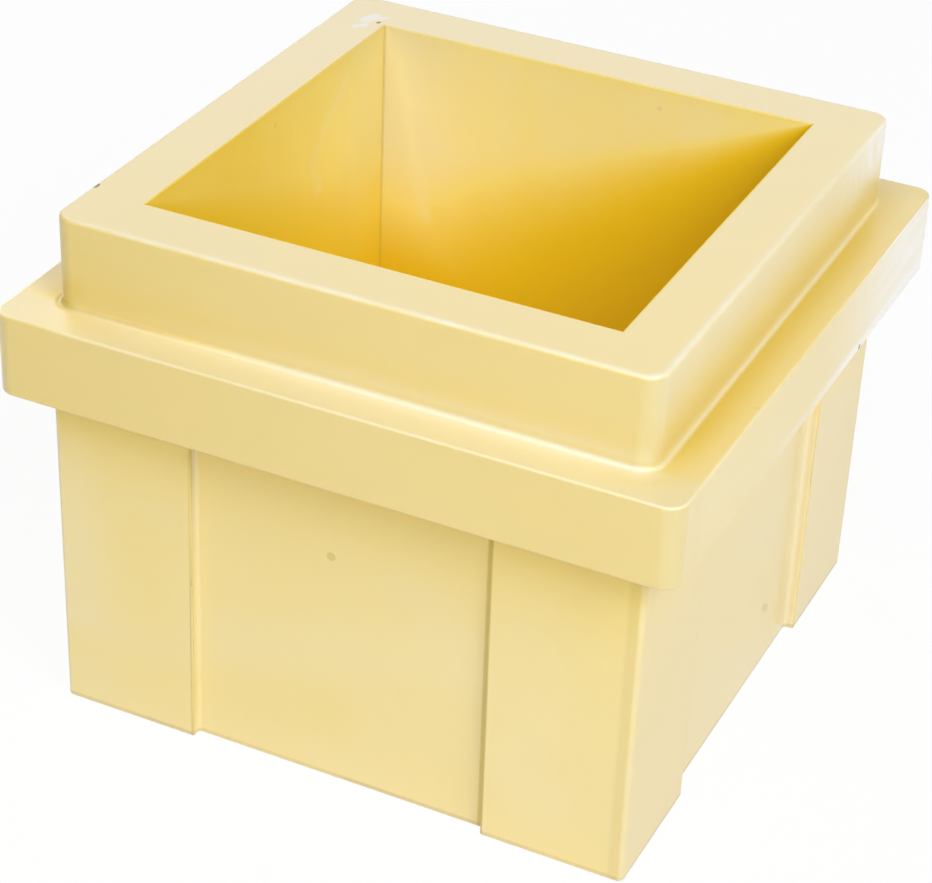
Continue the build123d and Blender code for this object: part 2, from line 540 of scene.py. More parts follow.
    # Noises: scale, detail and roughness as far as they are given, and from where to where they count.
    # Wavering: scale and amount.
    # Streaks: length, degrees from level, scale, and where they begin and are full
    CLOUD = (11.0, 2.0)
    CLOUDED = (0.3, 0.7)
    FLECKS = (70.0, 3.0, 0.65)
    FLECKED = (0.34, 0.66)
    HAZE = (24.0, 3.0)
    HAZED = (0.38, 0.72)
    UNEVEN = (130.0, 4.0 * MM)
    RAGGED = (700.0, 1.8 * MM)
    LEVEL_WIPES = (5.0, 12.0, 26.0, 0.46, 0.72)
    STEEP_WIPES = (7.0, -70.0, 20.0, 0.52, 0.72)
    DRIPS = (8.0, 86.0, 60.0, 0.4, 0.7)
    LONG_STREAKS = (9.0, 0.0, 240.0, 0.3, 0.66)
    STEEP_STREAKS = (6.0, 80.0, 200.0, 0.3, 0.66)

    # How strongly the small marks, the painted shade at the rim's near left corner and the painted shade in
    # creases colour the plastic
    DULL_CORNER_SHADE = 0.75
    CREASE_SHADE_AMOUNT = 0.6
    SMUDGE_SHADE = 0.75
    NICK_SHADE = 0.9

    # How much rougher the plastic is in some places, and how much of the wax film those have lost
    CLOUD_ROUGHER = 0.10
    SCRAPES_AND_REFLECTION_ROUGHER = 0.2
    EDGES_ROUGHER = 0.4
    TOP_ROUGHER = 0.35
    TOP_BARE = 0.95
    SCRAPES_AND_REFLECTION_BARE = 0.5
    WORN_LIT_BARE = 0.3
    SHADED_BARE = 0.8
    GROOVE_BARE = 0.5

    def execute(self, context):
        look = context.scene.cube_mould_finish
        finish = finish_of("cast_yellow_plastic")
        at = MouldSurface(finish)
        uneven = finish.wavering(at.place, *self.UNEVEN)
        cloud = finish.noise(at.place, *self.CLOUD)
        clouded = cloud.step(*self.CLOUDED)
        worn_and_lit = self.worn_and_lit_edges(finish, at) * look.wear_and_highlight
        scrapes_and_reflection = self.scrapes_and_reflection(finish, at)
        pits = self.pits(finish, at)
        nicks = self.lines(finish, at.place, self.NICKS, self.NICK_EASE)
        smudges = self.lines(finish, at.place, self.SMUDGES, self.SMUDGE_EASE)
        cavity_light = at.painted_cavity_light()
        edges = self.step_edges(at)
        groove_shadow = self.groove_shadow(at)
        corner_shade_and_dull = self.shaded_dull_corner(at)

        colour = self.outside(look, finish, at, clouded)
        colour = self.rim_and_ledge_shade(look, finish, at, colour)
        colour = self.corner_shade_and_root_light(finish, at, colour)
        colour = self.steps(finish, at, colour, edges, groove_shadow)
        colour = finish.blend(at.inside, colour, self.cavity(look, finish, at, uneven, cavity_light))
        colour = finish.blend(self.golden_lines(at).at_least(corner_shade_and_dull * self.DULL_CORNER_SHADE), colour, self.PAINTED_SHADE_AMBER)
        colour = finish.blend(self.crease_shade(at, cloud) * self.CREASE_SHADE_AMOUNT, colour, self.CREASE_SHADE_BROWN)
        colour = finish.blend(worn_and_lit, colour, self.WEAR_AND_HIGHLIGHT_CREAM)
        colour = finish.blend(scrapes_and_reflection, colour, self.CHALK_AND_HIGHLIGHT)
        colour = finish.blend(pits.at_least(smudges * self.SMUDGE_SHADE), colour, self.PIT)
        colour = finish.blend(nicks * self.NICK_SHADE, colour, self.DIRT)

        rougher = clouded * self.CLOUD_ROUGHER + scrapes_and_reflection * self.SCRAPES_AND_REFLECTION_ROUGHER
        rougher = rougher + edges * self.EDGES_ROUGHER + at.on_top * self.TOP_ROUGHER
        bare = at.on_top * self.TOP_BARE + scrapes_and_reflection * self.SCRAPES_AND_REFLECTION_BARE + worn_and_lit * self.WORN_LIT_BARE
        bare = bare + at.inside * (1 - cavity_light) * self.SHADED_BARE
        finish.plastic(
            base_color=colour,
            roughness=rougher + (look.roughness - self.CLOUD_ROUGHER / 2),
            coat_weight=1 - bare - edges - groove_shadow * self.GROOVE_BARE - corner_shade_and_dull - nicks,
            coat_roughness=look.film_roughness,
            normal=finish.bump(self.relief(finish, at, pits)),
        )
        paint("mould_body", finish)
        return {"FINISHED"}

    # The plastic outside. From here on, two places run from where a mark begins to where it is full.
    # Three numbers are the places that it is full between, and how softly it ends. Four are a line round
    # the mould: half width, height, radius and softness. A strength of two is the least and the most
    # Painted light: the body paler towards its foot, away from the collar's shadow, less on the right
    LIT_LOW_HEIGHT = (COLLAR_BASE - 15.0 * MM, 20.0 * MM)
    LIT_LOW = 0.28
    LIT_LOW_LESS_ON_RIGHT = 0.6
    LEVEL_WIPED = 0.9
    STEEP_WIPED = 0.8
    WIPED = 0.16
    CLOUDY = 0.12
    SPREAD_LESS_ON_RIGHT = 0.5
    # Painted sheen on level faces, and painted light on the front ledge
    LEVEL_SHEEN = 0.45
    # Painted sheen on the upper part of the rim's right face
    RIM_SHEEN_HEIGHT = (COLLAR_TOP + 4.0 * MM, RIM_TOP - 2.0 * MM)
    RIM_SHEEN = 0.6
    # Painted sheen on the rim's top: its strength at the middle, its growth per metre back and its loss per
    # metre right
    TOP_SHEEN_AT_MIDDLE = 0.66
    TOP_SHEEN_PER_METRE_BACK = 2.9
    TOP_SHEEN_LOST_PER_METRE_RIGHT = 1.7
    # Painted shade on the body under the collar's overhang
    UNDER_COLLAR = (COLLAR_BASE - 8.0 * MM, COLLAR_BASE, 32.0 * MM)
    UNDER_COLLAR_SHADE = 0.42
    CLOSE_TO_COLLAR = (COLLAR_BASE - 18.0 * MM, COLLAR_BASE - 7.0 * MM)
    CLOSE_TO_COLLAR_SHADE = 0.25
    ABOVE_BODY = (COLLAR_BASE - 1.0 * MM, COLLAR_BASE)
    # Painted shade on the front faces of the rim and the collar, and on the near part of the right side
    FRONT_FACE_SHADE = 0.22
    NEAR_RIGHT = (10.0 * MM, -70.0 * MM)
    NEAR_RIGHT_SHADE = 0.25
    # Painted light on the body's walls apart from the right side
    BODY_LIGHT = 0.25

    def outside(self, look, finish, at, clouded):
        """The plastic outside: random pale clouds, wipes and patches; painted light low on the body and on
        its walls; painted sheen on top and on the rim's right face; painted shade under the collar, on the
        front faces and on the near right side.
        """
        low = at.z.step(*self.LIT_LOW_HEIGHT) * (1 - at.on_right * self.LIT_LOW_LESS_ON_RIGHT)
        wiped = at.streaks(*self.LEVEL_WIPES) * self.LEVEL_WIPED
        wiped = wiped + at.streaks(*self.STEEP_WIPES) * self.STEEP_WIPED
        # Painted sheen on level faces, and painted light on the front ledge
        sheened = at.level * self.LEVEL_SHEEN + at.on_ledge * at.on_front * self.LEVEL_SHEEN
        # Painted sheen on the upper part of the rim's right face
        lightened = at.z.step(*self.RIM_SHEEN_HEIGHT) * at.on_right * self.RIM_SHEEN
        spread = clouded * self.CLOUDY + wiped * self.WIPED
        spread = spread * (1 - at.on_right * at.on_body * self.SPREAD_LESS_ON_RIGHT)
        pale = low * self.LIT_LOW + spread + sheened + lightened
        for *mark, amount in self.PATCHES:
            pale = pale + self.line(finish, at.place, mark, self.PATCH_EASE) * amount
        colour = finish.blend(pale, look.yellow, look.pale_and_lit_yellow)

        # Painted sheen on the rim's top, stronger towards the back and the left
        top_sheen = at.y * self.TOP_SHEEN_PER_METRE_BACK - at.x * self.TOP_SHEEN_LOST_PER_METRE_RIGHT
        top_sheen = at.on_top * (top_sheen + self.TOP_SHEEN_AT_MIDDLE)
        colour = finish.blend(top_sheen, colour, self.TOP_SHEEN_PALE)
        # Painted shade in deep yellow on the body under the collar
        collar_shade = at.z.within(*self.UNDER_COLLAR) * self.UNDER_COLLAR_SHADE
        collar_shade = collar_shade + at.z.step(*self.CLOSE_TO_COLLAR) * self.CLOSE_TO_COLLAR_SHADE
        colour = finish.blend(collar_shade * at.on_body, colour, look.shaded_yellow)
        # Painted shade on the front faces of the rim and the collar, and on the near part of the body's
        # right side
        front_shade = at.on_front * (at.upright * at.z.step(*self.ABOVE_BODY)) * self.FRONT_FACE_SHADE
        near_right = at.on_body * at.on_side * at.y.step(*self.NEAR_RIGHT)
        colour = finish.blend(front_shade + near_right * self.NEAR_RIGHT_SHADE, colour, self.SHADED_FACE_YELLOW)
        # Painted light on the body's walls, apart from the right side
        return finish.blend(at.on_body * at.off_side * self.BODY_LIGHT, colour, self.LIT_BODY_YELLOW)

    # Painted shade, golden, on the rim's walls and on the ledge
    LEDGE_INNER = (13.0 * MM, 1.0 * MM)
    LEDGE_GOLD = (0.38, 0.96)
    LEFT_LEDGE_GOLD = (0.15, 0.75)
    LEFT_WALL = (RIM_HALF - 1.0 * MM, RIM_HALF)
    CORNER_TO_BACK = (-122.0 * MM, -66.0 * MM)
    CORNER_TO_RIGHT = (66.0 * MM, RIM_HALF)
    BACK_HALF = (0.0, 60.0 * MM)
    BACK_END = (50.0 * MM, 95.0 * MM)
    BACK_END_LOSS = 0.35
    LEFT_END = (-60.0 * MM, -RIM_HALF)
    LEFT_END_GOLD = 0.22
    RIM_LEFT = (20.0 * MM, -RIM_HALF)
    RIM_LEFT_GOLD = 0.30
    COLLAR_WALL = (COLLAR_BASE, COLLAR_TOP, 0.5 * MM)
    COLLAR_LEFT = (30.0 * MM, -COLLAR_HALF)
    COLLAR_LEFT_GOLD = 0.18
    RIM_FAR_LEFT = (-78.0 * MM, -RIM_HALF)
    RIM_FAR_LEFT_GOLD = 0.35
    RIM_LOW = (COLLAR_TOP + 16.0 * MM, COLLAR_TOP + 3.0 * MM)
    RIM_LOW_RIGHT_GOLD = 0.25

    def rim_and_ledge_shade(self, look, finish, at, colour):
        """Painted shade on the rim's walls and the ledge round it: golden where they shade each other, deep
        yellow on the left ledge.
        """
        inner = at.beyond(RIM_HALF).step(*self.LEDGE_INNER)
        on_left = (-at.x).step(*self.LEFT_WALL) * (1 - at.on_front)
        past_corner = at.y.step(*self.CORNER_TO_BACK) * at.x.step(*self.CORNER_TO_RIGHT)
        past_corner = past_corner.at_least(at.y.step(*self.BACK_HALF)) * (1 - on_left)
        past_corner = past_corner * (1 - at.y.step(*self.BACK_END) * self.BACK_END_LOSS)
        left_end = at.on_front * at.x.step(*self.LEFT_END) * self.LEFT_END_GOLD
        ledge = at.on_ledge * (past_corner * inner.between(*self.LEDGE_GOLD) + left_end)
        left = at.on_front * at.on_rim * at.x.step(*self.RIM_LEFT) * self.RIM_LEFT_GOLD
        on_collar = at.z.within(*self.COLLAR_WALL) * at.upright
        left = left + on_collar * at.on_front * at.x.step(*self.COLLAR_LEFT) * self.COLLAR_LEFT_GOLD
        far_left = at.on_front * at.x.step(*self.RIM_FAR_LEFT) * self.RIM_FAR_LEFT_GOLD
        low = at.on_rim * at.z.step(*self.RIM_LOW) * (at.on_right * self.RIM_LOW_RIGHT_GOLD + far_left)
        colour = finish.blend(ledge + left + low, colour, self.PAINTED_SHADE_GOLD)
        left_ledge = at.on_ledge * on_left * inner.between(*self.LEFT_LEDGE_GOLD)
        return finish.blend(left_ledge, colour, look.shaded_yellow)

    # Painted shade at the near corner, and painted highlight on the rim's foot, the front ledge beside it
    # and its root, whose lines have a radius and a softness
    CORNER_REACH = (7.0 * MM, 2.0 * MM)
    ABOVE_COLLAR_BASE = (COLLAR_BASE, COLLAR_BASE + 1.0 * MM)
    NEAR_CORNER_SHADE = 0.6
    FRONT_TO_RIGHT = (-RIM_HALF, 40.0 * MM)
    RIM_FOOT = (COLLAR_TOP + 9.0 * MM, COLLAR_TOP)
    RIM_FOOT_HIGHLIGHT = 0.15
    RIM_FOOT_HIGHLIGHT_TO_RIGHT = 0.35
    LEDGE_TO_RIGHT = (-80.0 * MM, 0.0)
    LEDGE_TO_RIM = (7.0 * MM, 1.0 * MM)
    LEDGE_HIGHLIGHT = 0.35
    ROOT = (RIM_HALF + 0.6 * MM, COLLAR_TOP + 0.6 * MM)
    FRONT_ROOT_LINE = (0.6 * MM, 1.2 * MM)
    FRONT_ROOT = (-60.0 * MM, 0.0)
    FRONT_ROOT_PALE = 0.75
    RIGHT_ROOT_LINE = (0.4 * MM, 0.8 * MM)
    RIGHT_ROOT = (88.0 * MM, 55.0 * MM)
    RIGHT_ROOT_PALE = 0.65

    def corner_shade_and_root_light(self, finish, at, colour):
        """The rim and the collar: painted shade on the near corner, and painted highlight on the rim's foot,
        the front ledge beside it and its root.
        """
        corner = (at.reach - at.x.at_most(-at.y)).step(*self.CORNER_REACH) * at.upright
        corner = corner * at.z.step(*self.ABOVE_COLLAR_BASE)
        colour = finish.blend(corner * self.NEAR_CORNER_SHADE, colour, self.NEAR_CORNER)
        to_right = at.on_front * at.x.step(*self.FRONT_TO_RIGHT) * self.RIM_FOOT_HIGHLIGHT_TO_RIGHT
        foot = at.on_rim * at.z.step(*self.RIM_FOOT) * (to_right + at.on_front * self.RIM_FOOT_HIGHLIGHT)
        ledge = at.on_ledge * at.on_front * at.x.step(*self.LEDGE_TO_RIGHT)
        ledge = ledge * at.beyond(RIM_HALF).step(*self.LEDGE_TO_RIM) * self.LEDGE_HIGHLIGHT
        colour = finish.blend(foot + ledge, colour, self.WEAR_AND_HIGHLIGHT_CREAM)
        front_root = at.on_front * at.x.step(*self.FRONT_ROOT) * (1 - at.on_right)
        front_root = at.on_edge(*self.ROOT, *self.FRONT_ROOT_LINE) * front_root
        colour = finish.blend(front_root * self.FRONT_ROOT_PALE, colour, self.PALE_ROOT)
        right_root = at.on_edge(*self.ROOT, *self.RIGHT_ROOT_LINE) * at.on_right
        right_root = right_root * at.y.step(*self.RIGHT_ROOT)
        return finish.blend(right_root * self.RIGHT_ROOT_PALE, colour, self.LIGHT_AND_SHADE_GREY)

    # The steps beside the panels, with places measured past the step, and their painted shadow, shade, light
    # and highlight
    EDGE_LINE = (-0.05 * MM, 0.7 * MM, 0.15 * MM)
    EDGE_REACH = (94.8 * MM, 95.2 * MM)
    NEAR_EDGE_LOSS = 0.6
    EDGE_SHADE_HEIGHT = (62.0 * MM, 54.0 * MM)
    EDGE_SHADE = (0.45, 0.90)
    GROOVE_LINE = (-2.0 * MM, -1.2 * MM, 0.7 * MM)
    GROOVE_SHADE = 0.55
    RISER_LINE = (-0.4 * MM, 0.1 * MM, 0.3 * MM)
    RISER_REACH = (95.3 * MM, 94.8 * MM)
    RISER_HEIGHT = (40.0 * MM, COLLAR_BASE)
    RISER_LIGHT = 0.6
    RISER_GOLD = 0.3
    FOOT = (-2.8 * MM, -0.6 * MM)
    FOOT_END = (0.3 * MM, 0.0)
    FOOT_SHADE = 0.3
    FAR_FOOT = (-9.0 * MM, -1.5 * MM)
    FAR_FOOT_END = (0.2 * MM, 0.0)
    FAR_FOOT_HIGHLIGHT = 0.35

    def step_edges(self, at):
        """1 on the rounded edges of the steps, and less on the near one of the right side."""
        edges = at.past_step.within(*self.EDGE_LINE) * at.on_body * at.reach.step(*self.EDGE_REACH)
        return edges * (1 - at.on_side * at.right_hand * self.NEAR_EDGE_LOSS)

    def groove_shadow(self, at):
        """1 along the painted shadow at the foot of the right-hand steps, apart from the one on the right
        side.
        """
        return at.past_step.within(*self.GROOVE_LINE) * at.on_body * at.right_hand * at.off_side

    def steps(self, finish, at, colour, edges, groove_shadow):
        """The steps: a painted shadow by the right-hand one, painted light on the left riser, painted shade
        on the far riser, the edges and the left foot, and a painted highlight by the far one.
        """
        colour = finish.blend(groove_shadow * self.GROOVE_SHADE, colour, self.GROOVE_SHADOW_BROWN)
        riser = at.past_step.within(*self.RISER_LINE) * at.reach.step(*self.RISER_REACH)
        high = at.z.step(*self.RISER_HEIGHT) * at.on_body
        left_riser = riser * high * (1 - at.right_hand) * at.off_side
        colour = finish.blend(left_riser * self.RISER_LIGHT, colour, self.WEAR_AND_HIGHLIGHT_CREAM)
        colour = finish.blend(riser * at.on_body * at.on_side * self.RISER_GOLD, colour, self.PAINTED_SHADE_GOLD)
        shade = at.z.step(*self.EDGE_SHADE_HEIGHT).between(*self.EDGE_SHADE) * at.off_side
        colour = finish.blend(edges * shade, colour, self.SHADED_EDGE)
        left_hand = at.on_body * (1 - at.right_hand)
        foot = at.past_step.step(*self.FOOT) * at.past_step.step(*self.FOOT_END)
        colour = finish.blend(foot * left_hand * at.off_side * self.FOOT_SHADE, colour, self.LIGHT_AND_SHADE_GREY)
        far_foot = at.past_step.step(*self.FAR_FOOT) * at.past_step.step(*self.FAR_FOOT_END)
        return finish.blend(far_foot * left_hand * at.on_side * self.FAR_FOOT_HIGHLIGHT, colour, self.CHALK_AND_HIGHLIGHT)

    # Painted shade at the rim's near left corner
    DULL_FRONT = (RIM_HALF - 11.0 * MM, RIM_HALF - 6.0 * MM)
    DULL_LEFT = (RIM_HALF - 3.5 * MM, RIM_HALF - 0.6 * MM)
    DULL_WALL = 0.8
    DULL_ROOT_LINE = (1.0 * MM, 1.2 * MM)
    DULL_ROOT_LEFT = (RIM_HALF - 9.0 * MM, RIM_HALF - 3.0 * MM)

    def shaded_dull_corner(self, at):
        """1 on the rim's near left corner and its root, which get painted shade and no wax film."""
        wall = at.on_rim * (-at.x).step(*self.DULL_LEFT) * self.DULL_WALL
        root = at.on_edge(*self.ROOT, *self.DULL_ROOT_LINE) * (-at.x).step(*self.DULL_ROOT_LEFT)
        return wall.at_least(root) * (-at.y).step(*self.DULL_FRONT)

    # The cavity, with painted light and painted shade
    LIGHT_KEPT = 0.90
    HAZE_IN_LIGHT = 0.10
    DRIPS_IN_LIGHT = 0.12
    BACK_LEFT_CORNER = (45.0 * MM, 4.0 * MM)
    BACK_LEFT_DEPTH = (68.0 * MM, 34.0 * MM)
    BACK_LEFT_SHADE = 0.20
    PALE_RUNS = (0.3, 0.6)
    PALE_FLOOR = (0.2, 0.6)

    def cavity(self, look, finish, at, uneven, cavity_light):
        """The cavity: painted light where a light from the front right would reach, deep yellow painted
        shade elsewhere, grey painted shade in the back left and front right corners, a faint haze and pale
        runs of water.
        """
        hazy = finish.noise(uneven, *self.HAZE).step(*self.HAZED)
        runs = self.lines(finish, uneven, self.RUNS, self.RUN_EASE)
        drips = at.streaks(*self.DRIPS)
        # Painted light in the cavity, broken up a little by haze and drips: deep yellow in its shade, pale
        # yellow where lit
        cavity_light = cavity_light * (hazy * self.HAZE_IN_LIGHT + drips * self.DRIPS_IN_LIGHT + self.LIGHT_KEPT)
        colour = finish.blend(cavity_light * 2, look.shaded_yellow, self.HALF_LIT_CAVITY)
        colour = finish.blend(cavity_light * 2 - 1, colour, look.lit_cavity_and_runs_yellow)
        corner = abs(at.x + at.y).step(*self.BACK_LEFT_CORNER) * at.depth.step(*self.BACK_LEFT_DEPTH)
        colour = finish.blend(corner * self.BACK_LEFT_SHADE, colour, self.SHADED_CORNER)
        pale = runs * hazy.between(*self.PALE_RUNS) + at.level * hazy.between(*self.PALE_FLOOR)
        return finish.blend(pale, colour, look.lit_cavity_and_runs_yellow)

    # Painted shade in thin golden lines
    BEVEL = (CAVITY_HALF + 0.1 * MM, CAVITY_HALF + 0.3 * MM, 0.1 * MM)
    BEVEL_HEIGHT = (RIM_TOP - 1.0 * MM, RIM_TOP - 0.3 * MM)
    BEVEL_TO_BACK = (0.0, 5.0 * MM)
    BEVEL_GOLD = 0.35
    CAVITY_CORNER = (CAVITY_HALF - 0.9 * MM, CAVITY_HALF - 0.4 * MM)
    CAVITY_CORNER_GOLD = 0.45
    LOWER_EDGE = (COLLAR_BASE, COLLAR_BASE + 0.4 * MM, 0.3 * MM)
    LOWER_EDGE_REACH = (104.0 * MM, 105.0 * MM)
    LOWER_EDGE_GOLD = 0.6
    UPPER_EDGE = (COLLAR_HALF - 0.3 * MM, COLLAR_TOP - 0.3 * MM, 0.3 * MM, 0.3 * MM)
    UPPER_EDGE_TO_BACK = (10.0 * MM, 70.0 * MM)
    UPPER_EDGE_GOLD = 0.7

    def golden_lines(self, at):
        """How golden thin lines are: painted shade on the mouth's back edges and the collar's edges, and a
        darker line in the cavity's corners.
        """
        bevel = at.reach.within(*self.BEVEL) * at.z.step(*self.BEVEL_HEIGHT)
        bevel = bevel * (at.y - at.x).step(*self.BEVEL_TO_BACK)
        corner = at.across.step(*self.CAVITY_CORNER) * at.inside
        lower = at.z.within(*self.LOWER_EDGE) * at.reach.step(*self.LOWER_EDGE_REACH) * (1 - at.on_right)
        upper = at.on_edge(*self.UPPER_EDGE) * at.on_right * at.y.step(*self.UPPER_EDGE_TO_BACK)
        return strongest((
            bevel * self.BEVEL_GOLD,
            corner * self.CAVITY_CORNER_GOLD,
            lower * self.LOWER_EDGE_GOLD,
            upper * self.UPPER_EDGE_GOLD,
        ))

    # Worn edges with a painted highlight
    WORN_LIT_TO_FRONT = (40.0 * MM, -60.0 * MM)
    WORN_LIT_AMOUNT = (0.4, 1.0)
    WORN_LIT_RIM = (RIM_HALF - 0.8 * MM, RIM_TOP, 0.5 * MM, 0.9 * MM)
    WORN_LIT_COLLAR = (COLLAR_HALF - 0.2 * MM, COLLAR_TOP, 0.4 * MM, 0.7 * MM)
    COLLAR_WORN_LIT = 0.5
    WORN_LIT_PAST_LEFT = (RIM_HALF - 2.0 * MM, RIM_HALF - 14.0 * MM)
    WORN_LIT_CORNER = (BODY_HALF - 2.2 * MM, BODY_HALF - 1.2 * MM)
    CORNER_WORN_LIT = 0.45
    WORN_LIT_FLECKS = (0.5, 1.0)

    def worn_and_lit_edges(self, finish, at):
        """1 along the outer edges, with wear and a painted highlight, strongest towards the front."""
        flecks = finish.noise(at.place, *self.FLECKS).step(*self.FLECKED)
        to_front = at.y.step(*self.WORN_LIT_TO_FRONT).between(*self.WORN_LIT_AMOUNT)
        rim = at.on_edge(*self.WORN_LIT_RIM) * to_front
        collar = at.on_edge(*self.WORN_LIT_COLLAR) * to_front
        edges = rim.at_least(collar * self.COLLAR_WORN_LIT) * (-at.x).step(*self.WORN_LIT_PAST_LEFT)
        corner = at.across.step(*self.WORN_LIT_CORNER) * at.on_body
        return edges.at_least(corner * self.CORNER_WORN_LIT) * flecks.between(*self.WORN_LIT_FLECKS)

    # Chalky chips and scrapes, with painted reflection at the far ends of the right faces
    COLLAR_FACE = (COLLAR_HALF - 5.0 * MM, COLLAR_HALF - 0.5 * MM)
    ROUND_CORNER = (72.0 * MM, COLLAR_HALF)
    ROUND_CORNER_STREAKS = (0.3, 0.9)
    COLLAR_END = (0.0, COLLAR_HALF - 22.0 * MM)
    COLLAR_END_STREAKS = (0.8, 1.0)
    COLLAR_LOW = (COLLAR_BASE + 6.0 * MM, COLLAR_BASE + 1.0 * MM)
    COLLAR_LOW_TO_BACK = (-50.0 * MM, 10.0 * MM)
    COLLAR_LOW_STREAKS = (0.4, 0.8)
    COLLAR_SCRAPES_AND_REFLECTION = 0.95
    RIM_END = (34.0 * MM, 80.0 * MM)
    RIM_END_HEIGHT = (COLLAR_TOP + 7.0 * MM, RIM_TOP - 8.0 * MM)
    RIM_END_STREAKS = (0.4, 0.8)

    def scrapes_and_reflection(self, finish, at):
        """1 on the rim's chalky chips, and on the far ends of the right faces and the collar's far corner,
        which are part scrapes and part painted reflection.
        """
        along = at.streaks(*self.LONG_STREAKS)
        steep = at.streaks(*self.STEEP_STREAKS)
        ragged = finish.wavering(at.place, *self.RAGGED)
        chips = self.lines(finish, ragged, self.CHIPS, self.CHIP_EASE)
        back_face = at.y.step(*self.COLLAR_FACE) * (at.z.within(*self.COLLAR_WALL) * at.upright)
        back_face = back_face * at.x.step(*self.ROUND_CORNER) * along.between(*self.ROUND_CORNER_STREAKS)
        far_end = at.y.step(*self.COLLAR_END) * along.between(*self.COLLAR_END_STREAKS)
        low = at.z.step(*self.COLLAR_LOW) * at.y.step(*self.COLLAR_LOW_TO_BACK)
        low = low * along.between(*self.COLLAR_LOW_STREAKS)
        collar = (at.x.step(*self.COLLAR_FACE) * at.upright * (far_end + low)).at_least(back_face)
        rim = at.on_rim * at.on_right * at.y.step(*self.RIM_END) * at.z.step(*self.RIM_END_HEIGHT)
        rim = rim * steep.between(*self.RIM_END_STREAKS)
        return strongest((chips, collar * self.COLLAR_SCRAPES_AND_REFLECTION, rim))

    # Painted shade lines
    SHADED_ROOT = (RIM_HALF + 0.5 * MM, COLLAR_TOP + 0.5 * MM, 0.3 * MM, 0.6 * MM)
    SHADED_ROOT_LEFT = (-40.0 * MM, -70.0 * MM)
    SHADED_ROOT_AMOUNT = 0.7
    SHADED_FOOT = (0.5 * MM, 1.4 * MM, 0.5 * MM)
    SHADED_FOOT_REACH = (88.0 * MM, 91.0 * MM)
    SHADED_FOOT_AMOUNT = (0.4, 0.7)
    PATCHY = (0.42, 0.6)

    def crease_shade(self, at, cloud):
        """How strong the painted shade is on thin lines: the left of the rim's root, and in patches above
        the base's edge.
        """
        root = at.on_edge(*self.SHADED_ROOT) * at.on_front * at.x.step(*self.SHADED_ROOT_LEFT)
        foot = at.z.within(*self.SHADED_FOOT) * at.reach.step(*self.SHADED_FOOT_REACH)
        patchy = cloud.step(*self.PATCHY).between(*self.SHADED_FOOT_AMOUNT)
        return root * self.SHADED_ROOT_AMOUNT + foot * patchy

    def line(self, finish, vector, mark, softness):
        """1 on a short straight mark, which is given by its ends and radius in millimetres."""
        start, end, radius = mark
        return finish.along(vector, Vector(start) * MM, Vector(end) * MM, radius * MM, softness)

    def lines(self, finish, vector, marks, softness):
        """1 on each of a set of short straight marks."""
        return strongest([self.line(finish, vector, mark, softness) for mark in marks])

    def pits(self, finish, at):
        """How dark each of the small round marks is."""
        return strongest([
            finish.near(at.place, Vector(centre) * MM, radius * MM, self.PIT_EASE) * darkness
            for centre, radius, darkness in self.PITS
        ])

    # Relief: scale and detail of its noises, and heights in metres
    WAVES = (26.0, 0.0)
    WAVE_HEIGHT = 0.05 * MM
    GRAIN = (700.0, 1.0)
    GRAIN_HEIGHT = 0.004 * MM
    PIT_DEPTH = 0.1 * MM

    def relief(self, finish, at, pits):
        """Height of the surface in metres: cast waviness, a fine satin grain and the round marks."""
        waves = finish.noise(at.place, *self.WAVES) * self.WAVE_HEIGHT
        grain = finish.noise(at.place, *self.GRAIN) * self.GRAIN_HEIGHT
        return waves + grain - pits * self.PIT_DEPTH


